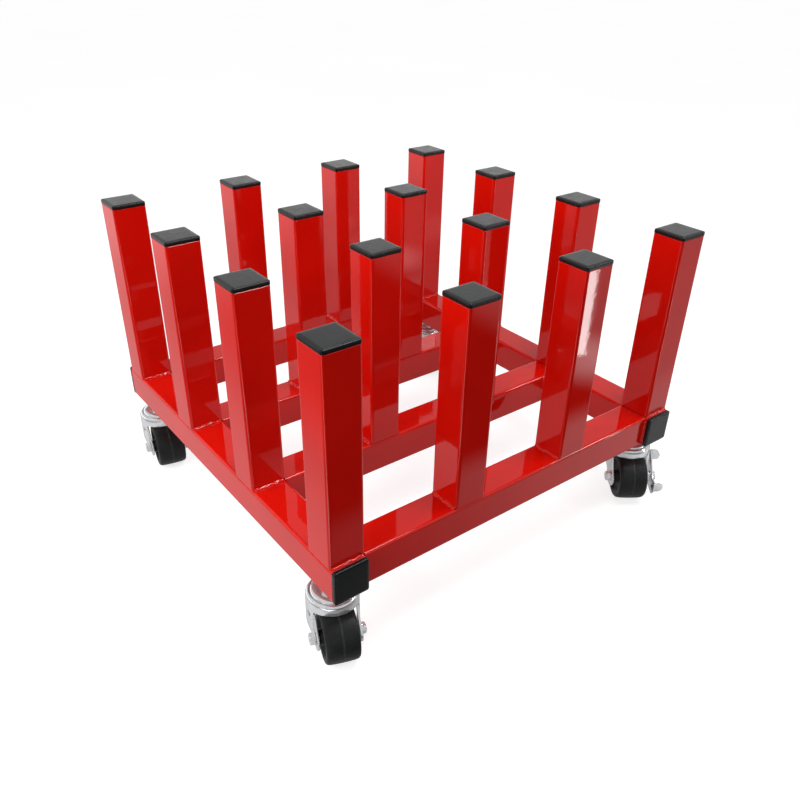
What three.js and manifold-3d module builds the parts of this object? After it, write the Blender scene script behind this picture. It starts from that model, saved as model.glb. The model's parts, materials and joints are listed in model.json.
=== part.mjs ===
// Wheeled rack: sixteen upright square-tube posts on a welded square-tube base, with four swivel
// stem casters. Millimetres, +Z up, floor at z = 0. X runs along the cross rails, Y along the side
// rails, and the front is -Y. The origin is on the floor under the middle of the overall box.

import * as THREE from "three";
import { mergeVertices } from "three/addons/utils/BufferGeometryUtils.js";
import Module from "manifold-3d";

const wasm = await Module();
wasm.setup();

// ---------- driving dimensions ----------
const GAP = 0.3; // clearance between pieces that touch or are welded
const TUBE = 50.8; // outer side of the square tube, for rails and posts alike
const TUBE_WALL = 3.2;
const TUBE_RADIUS = 4; // outer corner
const TUBE_INNER_RADIUS = 1.5;
const CORNER_STEPS = 3; // flats in one rounded corner

const COLUMNS = 4; // posts along X
const ROWS = 4; // posts along Y
const COLUMN_PITCH = 196.85;
const ROW_PITCH = 190.5;
const POST_HEIGHT = 285.75;
const RAIL_OVERHANG = 3.2; // side rail beyond the outer face of the end cross rail

const PLUG_HEAD = 6; // thickness of the plastic head on a post or a rail end
const PLUG_CHAMFER = 1.4;
const PLUG_DEPTH = 12; // length of the insert inside the tube
const PLUG_PLAY = 0.4; // insert to tube wall

const WHEEL_RADIUS = 37.5;
const WHEEL_WIDTH = 45;
const HUB_WIDTH = 51;
const WHEEL_STEPS = 24; // sides of the wheel, a multiple of four
const CASTER_HEIGHT = 111.5; // floor to the underside of the side rail
const TRAIL = 27; // swivel axis to wheel axle, measured level
const CASTER_INSET = 41.3; // swivel axis from the end of the side rail

const STEM_RADIUS = 6;
const STEM_TAIL = 5; // thread above the nut
const STEM_NUT_RADIUS = 11; // across the corners, as for every hexagon here
const STEM_NUT_HEIGHT = 9;
const COLLAR_RADIUS = 12.5;
const KINGPIN_RADIUS = 8;
const RIVET_RADIUS = 11;
const CUP_RADIUS = 30; // fixed bearing cup
const CROWN_RADIUS = 34; // top of the fork
const FORK_SHEET = 3;
const FORK_HALF_WIDTH = 33.5; // outer face of a leg at the crown
const LEG_STEP = 4; // how far a leg steps in between the crown and the axle
const LEG_END_RADIUS = 17;
const LEG_HOLE_RADIUS = 4.5;
const LEG_HOLE_FORWARD = 9; // from the swivel axis
const LEG_HOLE_DEPTH = 46; // below the rail underside
const AXLE_RADIUS = 4.8;
const WASHER_RADIUS = 9.5;
const WASHER = 1.6;
const BOLT_HEX_RADIUS = 8.3;
const BOLT_HEAD = 6;
const AXLE_NUT = 7;
const AXLE_TAIL = 1.5; // thread beyond the nut
const AXLE_STEPS = 16; // sides of the axle and its washers
const ROUND_STEPS = 20; // sides of a turned piece, a multiple of four

// Depths below the rail underside.
const CUP_TOP = 16;
const CUP_BOTTOM = 26.3;
const CROWN_TOP = 27.5;
const CROWN_LIP = 35.5;
const KINGPIN_END = 36.3;

const BRAKE_PLANE = 34.5; // inner face of the brake lever, from the middle of the wheel
const BRAKE_SHEET = 2.4;
const PEDAL_REACH = 16; // how far a pedal stands out from the lever's inner face

// Each caster: the signs of its corner along X and Y, its turn, and whether it has a brake. The turn
// is in degrees, from trailing straight to the front, towards -X.
const CASTERS = [
  { name: "front_left", sx: -1, sy: -1, turn: 20, brake: false },
  { name: "front_right", sx: 1, sy: -1, turn: 36, brake: true },
  { name: "back_left", sx: -1, sy: 1, turn: 11, brake: false },
  { name: "back_right", sx: 1, sy: 1, turn: 28, brake: true },
];

// ---------- worked-out dimensions ----------
const RAIL_BOTTOM = CASTER_HEIGHT;
const RAIL_MIDDLE = RAIL_BOTTOM + TUBE / 2;
const POST_BOTTOM = RAIL_BOTTOM + TUBE + GAP;
const POST_TOP = POST_BOTTOM + POST_HEIGHT;
const columnX = (i) => (i - (COLUMNS - 1) / 2) * COLUMN_PITCH;
const rowY = (j) => (j - (ROWS - 1) / 2) * ROW_PITCH;
const SIDE_X = columnX(COLUMNS - 1);
const RAIL_END_Y = rowY(ROWS - 1) + TUBE / 2 + RAIL_OVERHANG;
const CASTER_Y = RAIL_END_Y - CASTER_INSET;
const AXLE_DEPTH = CASTER_HEIGHT - WHEEL_RADIUS; // below the rail underside

// ---------- materials ----------
const paint = new THREE.MeshStandardMaterial({ color: 0xb80f0a, roughness: 0.28, metalness: 0 });
const plastic = new THREE.MeshStandardMaterial({ color: 0x15171a, roughness: 0.45, metalness: 0 });
const zinc = new THREE.MeshStandardMaterial({ color: 0xcfd2d4, roughness: 0.22, metalness: 1 });
const tyre = new THREE.MeshStandardMaterial({ color: 0x1b1d1f, roughness: 0.6, metalness: 0 });

// ---------- geometry helpers ----------
function toSolid(geometry) {
  const bare = geometry.clone();
  bare.deleteAttribute("normal");
  bare.deleteAttribute("uv");
  const merged = mergeVertices(bare, 1e-4);
  const mesh = new wasm.Mesh({
    numProp: 3,
    vertProperties: new Float32Array(merged.attributes.position.array),
    triVerts: new Uint32Array(merged.index.array),
  });
  return new wasm.Manifold(mesh);
}

function toGeometry(solid) {
  const mesh = solid.getMesh();
  const positions = new Float32Array(mesh.vertProperties);
  const geometry = new THREE.BufferGeometry();
  geometry.setAttribute("position", new THREE.BufferAttribute(positions, 3));
  geometry.setIndex(new THREE.BufferAttribute(new Uint32Array(mesh.triVerts), 1));
  geometry.computeVertexNormals();
  return geometry;
}

const join = (geometries) => geometries.map(toSolid).reduce((a, b) => a.add(b));

// Outline of a rounded square, anticlockwise.
function squareOutline(side, radius, steps) {
  const reach = side / 2 - radius;
  const points = [];
  for (let corner = 0; corner < 4; corner++) {
    const cx = corner === 0 || corner === 3 ? reach : -reach;
    const cy = corner < 2 ? reach : -reach;
    for (let s = 0; s <= steps; s++) {
      const angle = (corner + s / steps) * (Math.PI / 2);
      points.push(new THREE.Vector2(cx + radius * Math.cos(angle), cy + radius * Math.sin(angle)));
    }
  }
  return points;
}

// A closed body through rings of equal point count, lowest first, each anticlockwise from above.
function stackRings(rings) {
  const count = rings[0].length;
  const index = [];
  for (let level = 0; level < rings.length - 1; level++) {
    for (let k = 0; k < count; k++) {
      const a = level * count + k;
      const b = level * count + ((k + 1) % count);
      index.push(a, b, b + count, a, b + count, a + count);
    }
  }
  const last = (rings.length - 1) * count;
  for (let k = 1; k < count - 1; k++) {
    index.push(0, k + 1, k);
    index.push(last, last + k, last + k + 1);
  }
  const geometry = new THREE.BufferGeometry();
  geometry.setFromPoints(rings.flat());
  geometry.setIndex(index);
  geometry.computeVertexNormals();
  return geometry;
}

// A turned body about Z from [radius, height] pairs, which close on themselves with the material on
// their left. The flats lie at the stated radius, and one of them faces each of +-X and +-Y.
function turned(profile, steps) {
  const grow = 1 / Math.cos(Math.PI / steps);
  const points = [...profile, profile[0]].map(([r, z]) => new THREE.Vector2(r * grow, z));
  const geometry = new THREE.LatheGeometry(points, steps);
  geometry.rotateX(Math.PI / 2);
  geometry.rotateZ(Math.PI / steps);
  return geometry;
}

// A prism about Z between two heights.
function prism(radius, low, high, sides) {
  const geometry = new THREE.CylinderGeometry(radius, radius, high - low, sides);
  geometry.rotateX(Math.PI / 2);
  geometry.translate(0, 0, (low + high) / 2);
  return geometry;
}

// A prism about X through the axle line, between two distances from the middle of the wheel.
function axlePrism(radius, low, high, sides) {
  const geometry = prism(radius, low, high, sides);
  geometry.rotateY(Math.PI / 2);
  geometry.translate(0, -TRAIL, -AXLE_DEPTH);
  return geometry;
}

// ---------- square tube and plugs ----------
function tubeGeometry(length) {
  const shape = new THREE.Shape(squareOutline(TUBE, TUBE_RADIUS, CORNER_STEPS));
  const bore = squareOutline(TUBE - 2 * TUBE_WALL, TUBE_INNER_RADIUS, 1);
  shape.holes.push(new THREE.Path(bore.reverse()));
  return new THREE.ExtrudeGeometry(shape, { depth: length, bevelEnabled: false });
}

// Tube along Y about the origin, with a hole in its underside for each caster stem.
function sideRailGeometry() {
  const tube = tubeGeometry(2 * RAIL_END_Y);
  tube.translate(0, 0, -RAIL_END_Y);
  tube.rotateX(Math.PI / 2);
  let solid = toSolid(tube);
  for (const sy of [-1, 1]) {
    const drill = prism(STEM_RADIUS + GAP, -TUBE, 0, ROUND_STEPS);
    drill.translate(0, sy * CASTER_Y, 0);
    solid = solid.subtract(toSolid(drill));
  }
  return toGeometry(solid);
}

// Tube along X about the origin, between the two side rails.
function crossRailGeometry() {
  const half = SIDE_X - TUBE / 2 - GAP;
  const tube = tubeGeometry(2 * half);
  tube.translate(0, 0, -half);
  tube.rotateY(Math.PI / 2);
  return tube;
}

// Plastic plug along +Z: an insert below z = 0, which sits on the tube's end, and a chamfered head.
function plugGeometry() {
  const insert = TUBE - 2 * TUBE_WALL - 2 * PLUG_PLAY;
  const levels = [
    [insert, -PLUG_DEPTH],
    [insert, 0],
    [TUBE, 0],
    [TUBE, PLUG_HEAD - PLUG_CHAMFER],
    [TUBE - 2 * PLUG_CHAMFER, PLUG_HEAD],
  ];
  const ring = ([side, z]) => {
    const outline = squareOutline(side, (TUBE_RADIUS * side) / TUBE, CORNER_STEPS);
    return outline.map((p) => new THREE.Vector3(p.x, p.y, z));
  };
  return stackRings(levels.map(ring));
}

// ---------- caster ----------
// Caster pieces stand with the swivel axis on Z, the rail underside at z = 0, the wheel trailing
// towards -Y and the brake on +X.

// The fixed half of the swivel: threaded stem with its nut, hex collar, bearing cup and kingpin.
function stemGeometry() {
  const bite = 1; // how far one piece of the stem runs into the next
  const nutBottom = TUBE_WALL + GAP;
  const nutTop = nutBottom + STEM_NUT_HEIGHT;
  const nut = prism(STEM_NUT_RADIUS, nutBottom, nutTop, 6);
  const shank = prism(STEM_RADIUS, -CUP_BOTTOM, nutTop + STEM_TAIL, ROUND_STEPS);
  const collar = prism(COLLAR_RADIUS, -CUP_TOP - bite, -GAP, 6);
  const cup = turned(
    [
      [STEM_RADIUS - bite, -CUP_BOTTOM],
      [CUP_RADIUS, -CUP_BOTTOM],
      [CUP_RADIUS, -CUP_TOP - 4.5],
      [CUP_RADIUS - 1.6, -CUP_TOP - 1.5],
      [CUP_RADIUS - 5, -CUP_TOP],
      [STEM_RADIUS - bite, -CUP_TOP],
    ],
    ROUND_STEPS,
  );
  const kingpin = prism(KINGPIN_RADIUS, -KINGPIN_END, -CUP_BOTTOM + bite, ROUND_STEPS);
  const rivet = prism(RIVET_RADIUS, -KINGPIN_END, -CROWN_TOP - FORK_SHEET - GAP, ROUND_STEPS);
  return toGeometry(join([shank, nut, collar, cup, kingpin, rivet]));
}

// One fork leg: a sheet that narrows from the crown to a round end about the axle, and steps in.
function legGeometry(side) {
  // Each level: depth below the rail, how far forward of the swivel axis its back and front edges
  // lie, and its outer face.
  const levels = [
    [CROWN_TOP + 0.6, -18, 22, FORK_HALF_WIDTH],
    [CROWN_LIP, -18, 26, FORK_HALF_WIDTH],
    [46, -11, 33, FORK_HALF_WIDTH - 0.25 * LEG_STEP],
    [60, 3, 41, FORK_HALF_WIDTH - 0.9 * LEG_STEP],
  ];
  for (let degrees = -20; degrees <= 80; degrees += 20) {
    const angle = THREE.MathUtils.degToRad(degrees);
    const half = LEG_END_RADIUS * Math.cos(angle);
    const depth = AXLE_DEPTH + LEG_END_RADIUS * Math.sin(angle);
    levels.push([depth, TRAIL - half, TRAIL + half, FORK_HALF_WIDTH - LEG_STEP]);
  }
  const ring = ([depth, back, front, outer]) => {
    const near = side > 0 ? outer - FORK_SHEET : -outer;
    const far = near + FORK_SHEET;
    return [
      new THREE.Vector3(near, -front, -depth),
      new THREE.Vector3(far, -front, -depth),
      new THREE.Vector3(far, -back, -depth),
      new THREE.Vector3(near, -back, -depth),
    ];
  };
  return stackRings(levels.reverse().map(ring));
}

// The swivelling fork: a domed crown with a turned-down lip and two legs, drilled for the kingpin
// and the axle, with a round hole high on each leg.
function forkGeometry() {
  const underside = -CROWN_TOP - FORK_SHEET;
  const crown = turned(
    [
      [KINGPIN_RADIUS + GAP, underside],
      [CROWN_RADIUS - 4.5, underside],
      [CROWN_RADIUS - FORK_SHEET, underside - 1.5],
      [CROWN_RADIUS - FORK_SHEET, -CROWN_LIP],
      [CROWN_RADIUS, -CROWN_LIP],
      [CROWN_RADIUS, -CROWN_TOP - 3.2],
      [CROWN_RADIUS - 2, -CROWN_TOP - 1],
      [CROWN_RADIUS - 5, -CROWN_TOP],
      [KINGPIN_RADIUS + GAP, -CROWN_TOP],
    ],
    ROUND_STEPS,
  );
  const axleDrill = axlePrism(AXLE_RADIUS + GAP, -TUBE, TUBE, AXLE_STEPS);
  const legDrill = prism(LEG_HOLE_RADIUS, -TUBE, TUBE, 12);
  legDrill.rotateY(Math.PI / 2);
  legDrill.translate(0, -LEG_HOLE_FORWARD, -LEG_HOLE_DEPTH);
  const body = join([crown, legGeometry(-1), legGeometry(1)]);
  return toGeometry(body.subtract(toSolid(axleDrill)).subtract(toSolid(legDrill)));
}

// Wheel about X through the axle: crowned tread, round shoulders, dished sides and a proud hub.
function wheelGeometry() {
  const half = WHEEL_WIDTH / 2;
  const right = [
    [AXLE_RADIUS + GAP, HUB_WIDTH / 2],
    [10.5, HUB_WIDTH / 2],
    [12, half - 5],
    [26, half - 5],
    [28, half],
    [WHEEL_RADIUS - 3.8, half],
    [WHEEL_RADIUS - 1.5, half - 2.2],
    [WHEEL_RADIUS - 0.3, half - 11],
  ];
  const left = right.map(([r, x]) => [r, -x]);
  const geometry = turned([...left, [WHEEL_RADIUS, 0], ...right.reverse()], WHEEL_STEPS);
  geometry.rotateY(Math.PI / 2);
  geometry.translate(0, -TRAIL, -AXLE_DEPTH);
  return geometry;
}

// Axle bolt about X with its washers and nut. With a brake, a spacer and the lever's sheet come
// between the right leg and the nut.
function axleGeometry(brake) {
  const seat = FORK_HALF_WIDTH - LEG_STEP + GAP;
  const headSeat = -seat - WASHER;
  const nutSeat = brake ? BRAKE_PLANE + BRAKE_SHEET + GAP : seat + WASHER;
  const nutEnd = nutSeat + AXLE_NUT;
  const pieces = [
    axlePrism(AXLE_RADIUS, headSeat, nutEnd + AXLE_TAIL, AXLE_STEPS),
    axlePrism(WASHER_RADIUS, headSeat, -seat, AXLE_STEPS),
    axlePrism(BOLT_HEX_RADIUS, headSeat - BOLT_HEAD, headSeat, 6),
    axlePrism(BOLT_HEX_RADIUS, nutSeat, nutEnd, 6),
    axlePrism(WASHER_RADIUS, seat, brake ? BRAKE_PLANE - GAP : seat + WASHER, AXLE_STEPS),
  ];
  return toGeometry(join(pieces));
}

// Brake lever on +X, turning about the axle: a V-shaped plate with a pedal bent out at each end.
// Its outlines are in [forward, up] from the axle.
function brakeLeverGeometry() {
  const extrude = (outline, depth) => {
    const shape = new THREE.Shape(outline.map(([u, v]) => new THREE.Vector2(u, v)));
    const geometry = new THREE.ExtrudeGeometry(shape, { depth, bevelEnabled: false });
    geometry.applyMatrix4(
      new THREE.Matrix4().makeBasis(
        new THREE.Vector3(0, -1, 0),
        new THREE.Vector3(0, 0, 1),
        new THREE.Vector3(-1, 0, 0),
      ),
    );
    geometry.translate(BRAKE_PLANE + depth, -TRAIL, -AXLE_DEPTH);
    return geometry;
  };
  const plate = [
    [-11, 5],
    [-11, -5],
    [-4, -11],
    [12, -17],
    [24, -20],
    [31, -12],
    [32, 5],
    [18, 7],
    [9, 14],
    [-3, 30],
    [-15, 42],
    [-19, 38],
    [-16, 26],
  ];
  const upperPedal = [
    [-17, 42],
    [-5, 30],
    [-3.4, 31.6],
    [-15.4, 43.6],
  ];
  const lowerPedal = [
    [30, 5],
    [29.4, -12],
    [31.8, -12],
    [32.4, 5],
  ];
  const body = join([
    extrude(plate.reverse(), BRAKE_SHEET),
    extrude(upperPedal, PEDAL_REACH),
    extrude(lowerPedal, PEDAL_REACH),
  ]);
  const axleDrill = axlePrism(AXLE_RADIUS + GAP, -TUBE, TUBE, AXLE_STEPS);
  return toGeometry(body.subtract(toSolid(axleDrill)));
}

// ---------- assembly ----------
const rack = new THREE.Group();

function place(parent, name, geometry, material, x = 0, y = 0, z = 0) {
  const mesh = new THREE.Mesh(geometry, material);
  mesh.name = name;
  mesh.position.set(x, y, z);
  parent.add(mesh);
  return mesh;
}

const post = tubeGeometry(POST_HEIGHT);
const plug = plugGeometry();
const sideRail = sideRailGeometry();
const crossRail = crossRailGeometry();

for (const [side, sx] of [["left", -1], ["right", 1]]) {
  place(rack, `side_rail_${side}`, sideRail, paint, sx * SIDE_X, 0, RAIL_MIDDLE);
  for (const [end, sy] of [["front", -1], ["back", 1]]) {
    const y = sy * (RAIL_END_Y + GAP);
    const cover = place(rack, `rail_plug_${end}_${side}`, plug, plastic, sx * SIDE_X, y, RAIL_MIDDLE);
    cover.rotation.x = (-sy * Math.PI) / 2;
  }
}

for (let j = 0; j < ROWS; j++) {
  place(rack, `cross_rail_${j + 1}`, crossRail, paint, 0, rowY(j), RAIL_MIDDLE);
  for (let i = 0; i < COLUMNS; i++) {
    const label = `${i + 1}_${j + 1}`;
    place(rack, `post_${label}`, post, paint, columnX(i), rowY(j), POST_BOTTOM);
    place(rack, `post_cap_${label}`, plug, plastic, columnX(i), rowY(j), POST_TOP + GAP);
  }
}

const stem = stemGeometry();
const fork = forkGeometry();
const wheel = wheelGeometry();

for (const { name, sx, sy, turn, brake } of CASTERS) {
  const mounting = new THREE.Group();
  mounting.position.set(sx * SIDE_X, sy * CASTER_Y, RAIL_BOTTOM);
  rack.add(mounting);
  place(mounting, `caster_stem_${name}`, stem, zinc);
  const swivel = new THREE.Group();
  swivel.rotation.z = -THREE.MathUtils.degToRad(turn);
  mounting.add(swivel);
  place(swivel, `caster_fork_${name}`, fork, zinc);
  place(swivel, `caster_wheel_${name}`, wheel, tyre);
  place(swivel, `caster_axle_${name}`, axleGeometry(brake), zinc);
  if (brake) place(swivel, `brake_lever_${name}`, brakeLeverGeometry(), zinc);
}

// The wheels trail past the base on one side, so the overall box isn't centred on the posts.
const overall = new THREE.Box3().setFromObject(rack, true);
const middle = overall.getCenter(new THREE.Vector3());
rack.position.set(-Math.round(middle.x), -Math.round(middle.y), 0);

const part = new THREE.Group();
part.add(rack);

export default part;
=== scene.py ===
import json
import math
import random

import bmesh
import bpy
from mathutils import Matrix, Vector, noise


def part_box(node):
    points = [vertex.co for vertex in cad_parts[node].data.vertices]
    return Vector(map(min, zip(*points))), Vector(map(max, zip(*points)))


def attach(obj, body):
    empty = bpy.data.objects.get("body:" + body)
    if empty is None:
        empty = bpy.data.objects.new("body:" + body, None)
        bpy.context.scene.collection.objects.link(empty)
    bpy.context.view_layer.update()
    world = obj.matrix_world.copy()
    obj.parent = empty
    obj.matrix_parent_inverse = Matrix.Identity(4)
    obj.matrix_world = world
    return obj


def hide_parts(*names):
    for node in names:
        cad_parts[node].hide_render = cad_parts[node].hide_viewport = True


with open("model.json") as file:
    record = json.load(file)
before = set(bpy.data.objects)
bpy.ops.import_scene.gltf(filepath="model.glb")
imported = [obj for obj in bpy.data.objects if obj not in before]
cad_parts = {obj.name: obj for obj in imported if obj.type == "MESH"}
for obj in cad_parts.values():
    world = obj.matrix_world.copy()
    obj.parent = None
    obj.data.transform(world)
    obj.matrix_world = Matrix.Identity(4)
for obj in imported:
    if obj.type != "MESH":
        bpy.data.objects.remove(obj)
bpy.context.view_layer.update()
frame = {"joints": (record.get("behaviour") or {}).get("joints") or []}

# Wheeled post rack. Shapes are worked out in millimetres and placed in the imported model's frame, in
# metres. +Z is up, X runs along the cross rails, Y along the side rails, and the front is -Y.

MM = 0.001

# ---------- square tube, plugs and welds ----------
TUBE = 50.8  # outer side
TUBE_WALL = 3.2
TUBE_RADIUS = 4.0  # outer corner
TUBE_INNER_RADIUS = 2.0
CUT_EDGE = 0.6  # softened edge at a cut end
CORNER_STEPS = 7  # flats in one rounded corner
EDGE_LEAD = 0.5  # extra point this far before and after a rounded corner

PLUG_OVERHANG = 0.1  # head of a plastic plug beyond the tube, each side
PLUG_HEAD = 6.0
PLUG_RADIUS = 3.4
PLUG_INSERT = 43.6
PLUG_DEPTH = 12.0

BEAD_STEP = 0.75  # distance between sections of a weld bead
BEAD_PITCH = 4.4  # length of one ripple
BEAD_ARC = 8  # faces across a bead
BEAD_SINK = 0.15  # how far a bead's edge runs into the metal
BEAD_WIDTH = 3.4  # at a post's foot
BEAD_LEDGE_WIDTH = 2.7  # the same on the narrow ledge at the end of a side rail
BEAD_INSET = 2.2  # a foot bead's end, from the post's corner
JOINT_WIDTH = 3.0  # upright bead between two rails
JOINT_LEDGE_WIDTH = 2.3
JOINT_INSET = 5.5  # its end, from the rail's top and underside
RAIL_GAP = 0.3  # between a cross rail's end and the side rail

# ---------- casters: radii, and depths below the underside of the rail ----------
STEM_RADIUS = 6.0
STEM_NUT = (11.0, 3.5, 12.5)  # radius across corners, bottom, top
STEM_TOP = 17.5
COLLAR_RADIUS = 12.5
COLLAR_TOP = 0.3
CUP_RADIUS = 29.2
CUP_TOP = 16.0
CUP_BOTTOM = 26.3
CUP_SHEET = 2.0
KINGPIN_RADIUS = 8.0
RIVET_RADIUS = 11.0
RIVET_TOP = 30.8
KINGPIN_END = 36.3
BALL_COUNT = 26
BALL_RADIUS = 2.1
BALL_CIRCLE = 23.2
BALL_DEPTH = 22.4

CROWN_RADIUS = 35.2
CROWN_BORE = 8.3
CROWN_TOP = 27.5
RIM_TOP = 20.2  # top of the crown's rounded rim, outside the bearing cup
CROWN_LIP = 35.5
FORK_SHEET = 2.7
LEG_END_PLANE = 30.0  # outer face of a leg at the axle, from the middle of the wheel
LEG_FLAT = 19.0  # in front of this the leg leaves the crown's round wall
LEG_END_RADIUS = 16.5
LEG_FLATTENS = (66, 92)  # depths between which the round wall gives way to the flat end
LEG_FLATTENS_BRAKED = (52, 72)  # the same on a fork that has room for a brake lever
LEG_HEEL = 5.4  # extra width of the leg's back edge at the axle's height
LEG_COLUMNS = 18  # faces across a leg
CROWN_COLUMNS = 14  # faces round the crown between two legs
LEG_ROOT = 37.0  # depth where the legs leave the crown's wall
ROOT_FILLET = 1.5
LEG_HOLE = (4.5, 9.0, 46.0)  # radius, how far forward of the swivel axis, depth
# Edges of a leg above its round end: depth, back edge, front edge.
LEG_EDGES = [
    (37.0, -18.4, 19.0),
    (42.0, -17.9, 21.2),
    (47.0, -17.1, 23.8),
    (52.0, -15.8, 27.0),
    (57.0, -13.6, 30.7),
    (61.0, -11.0, 34.0),
    (65.0, -7.4, 37.4),
    (68.5, -3.2, 40.4),
    (71.0, 0.4, 42.4),
]

AXLE_RADIUS = 4.8
WASHER_RADIUS = 9.5
WASHER = 1.6
BOLT_HEX = 8.3  # across corners, halved, as for every hexagon here
BOLT_HEAD = 6.0
AXLE_NUT = 7.0
THIN_NUT = 4.4  # on the casters without a brake
AXLE_TAIL = 1.2
HUB_WASHER = (25.75, 26.35)  # its two faces, from the middle of the wheel
FIT = 0.15  # gap beside a washer
THREAD_PITCH = 1.25
THREAD_DEPTH = 0.3
THREAD_STEPS = 32  # points round a thread
HEX_STEPS = 72
TURNED_STEPS = 96
SHARP = 32  # degrees: a sharper edge stays sharp in the shading

WHEEL_RADIUS = 37.5
# Half of the wheel's section from the bore to the crown of the tread: radius, distance from the middle.
WHEEL_PROFILE = [
    (5.1, 24.9),
    (5.7, 25.5),
    (9.9, 25.5),
    (10.6, 24.8),
    (11.3, 19.2),
    (12.2, 17.8),
    (13.6, 17.3),
    (24.4, 17.3),
    (25.9, 17.8),
    (26.9, 19.0),
    (27.6, 21.4),
    (28.6, 22.3),
    (30.0, 22.5),
    (33.0, 22.5),
    (34.6, 22.0),
    (35.9, 20.6),
    (36.6, 18.6),
    (37.0, 15.5),
    (37.3, 9.0),
    (37.4, 2.0),
    (37.4, 0.4),
]

BRAKE_PLANE = 34.5  # inner face of the brake lever, from the middle of the wheel
BRAKE_SHEET = 2.4
PEDAL_REACH = 50.5  # outer end of a pedal, from the middle of the wheel
PEDAL_ROUNDING = 7.5
# Outline of the brake lever about the axle: forward, up.
BRAKE_OUTLINE = [
    (-11, 5),
    (-11, -5),
    (-4, -11),
    (12, -17),
    (24, -20),
    (31, -12),
    (32, 5),
    (18, 7),
    (9, 14),
    (-3, 30),
    (-15, 42),
    (-19, 38),
    (-16, 26),
]
UPPER_PEDAL = ((-17, 42), (-5, 30))
LOWER_PEDAL = ((30, 5), (29.4, -12))

COLUMNS = (1, 2, 3, 4)
ROWS = (1, 2, 3, 4)
RAILS = ("side_rail_left", "side_rail_right")
CORNERS = ("front_left", "front_right", "back_left", "back_right")
BRAKED = ("front_right", "back_right")

# ---------- camera and light, in metres and degrees ----------
CAMERA_PLACE = (-0.6824, -0.8956, 0.8109)
CAMERA_HEADING = 37.88  # from +Y towards +X
CAMERA_DIP = 32.05  # below the horizon
CAMERA_ROLL = 1.142
CAMERA_LENS = 35.515
CAMERA_SHIFT = 0.0268

ROOM = 24.0  # half the width of the pale floor, in metres like all the places below
STRIP_PLACE = (0.613, -0.706, 0.0)
STRIP_HALF = (0.0125, 0.0041)
STRIP_HEIGHT = 0.22
STRIP_STRENGTH = 9.0
REFLECTOR = (-1.3, -0.42, -0.60, -0.38)  # west, east, south and north edges
REFLECTOR_STRENGTH = 1.6
FLOOR_GLOW = 0.74
SKY = 0.55
SKY_GLOW = 0.75  # added low in the sky behind the rack
# Area lamps: name, place, aim, size, watts, and whether the gloss shows the lamp.
LAMPS = (
    ("key_left", (-1.5, 0.1, 1.0), (0, 0.05, 0.22), (1.7, 0.9), 21, False),
    ("front_row_box", (0.25, -0.42, 1.5), (0.1, 0.0, 0.2), (0.5, 0.4), 8, True),
    ("right_fill", (1.45, -1.2, 1.25), (0.2, -0.2, 0.1), (0.3, 0.3), 5, True),
)

chance = random.Random(41)


# ---------- node helpers ----------
def new_material(name):
    """A node material, with its tree and its Principled shader."""
    material = bpy.data.materials.new(name)
    material.use_nodes = True
    tree = material.node_tree
    return material, tree, tree.nodes["Principled BSDF"]


def noise_node(tree, wavelength, detail=2.0, stretch=(1, 1, 1)):
    """Noise in object space with the given wavelength in millimetres."""
    place = tree.nodes.new("ShaderNodeTexCoord")
    mapping = tree.nodes.new("ShaderNodeMapping")
    mapping.inputs["Scale"].default_value = stretch
    texture = tree.nodes.new("ShaderNodeTexNoise")
    texture.inputs["Scale"].default_value = 1000.0 / wavelength
    texture.inputs["Detail"].default_value = detail
    tree.links.new(place.outputs["Object"], mapping.inputs["Vector"])
    tree.links.new(mapping.outputs["Vector"], texture.inputs["Vector"])
    return texture.outputs["Fac"]


def remap(tree, value, low, high, start=0.3, end=0.7):
    """The value spread from low to high while it goes from start to end."""
    node = tree.nodes.new("ShaderNodeMapRange")
    node.inputs["From Min"].default_value = start
    node.inputs["From Max"].default_value = end
    node.inputs["To Min"].default_value = low
    node.inputs["To Max"].default_value = high
    tree.links.new(value, node.inputs["Value"])
    return node.outputs["Result"]


def blend_colours(tree, factor, first, second):
    """A colour between two, by a factor from 0 to 1. Either colour may be a socket."""
    node = tree.nodes.new("ShaderNodeMix")
    node.data_type = "RGBA"
    tree.links.new(factor, node.inputs[0])
    for socket, colour in ((node.inputs[6], first), (node.inputs[7], second)):
        if isinstance(colour, tuple):
            socket.default_value = (*colour, 1.0)
        else:
            tree.links.new(colour, socket)
    return node.outputs[2]


def bump(tree, height, depth, under=None):
    """A bump of the given depth in millimetres, on top of another bump."""
    node = tree.nodes.new("ShaderNodeBump")
    node.inputs["Distance"].default_value = depth * MM
    tree.links.new(height, node.inputs["Height"])
    if under:
        tree.links.new(under, node.inputs["Normal"])
    return node.outputs["Normal"]


def attribute(tree, name):
    """A float attribute of the mesh."""
    node = tree.nodes.new("ShaderNodeAttribute")
    node.attribute_name = name
    return node.outputs["Fac"]


def maths(tree, operation, first, second):
    """One arithmetic step on sockets or numbers."""
    node = tree.nodes.new("ShaderNodeMath")
    node.operation = operation
    for socket, value in zip(node.inputs, (first, second)):
        if isinstance(value, (int, float)):
            socket.default_value = value
        else:
            tree.links.new(value, socket)
    return node.outputs[0]


def between(tree, value, start, end, low=0.0, high=1.0):
    """A smooth step of the value from low at start to high at end."""
    node = tree.nodes.new("ShaderNodeMapRange")
    node.interpolation_type = "SMOOTHSTEP"
    tree.links.new(value, node.inputs["Value"])
    for name, number in (("From Min", start), ("From Max", end), ("To Min", low), ("To Max", high)):
        node.inputs[name].default_value = number
    return node.outputs["Result"]


def mix_values(tree, factor, first, second):
    """first where the factor is 0 and second where it is 1."""
    rest = maths(tree, "SUBTRACT", 1.0, factor)
    return maths(tree, "ADD", maths(tree, "MULTIPLY", rest, first), maths(tree, "MULTIPLY", factor, second))


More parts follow.
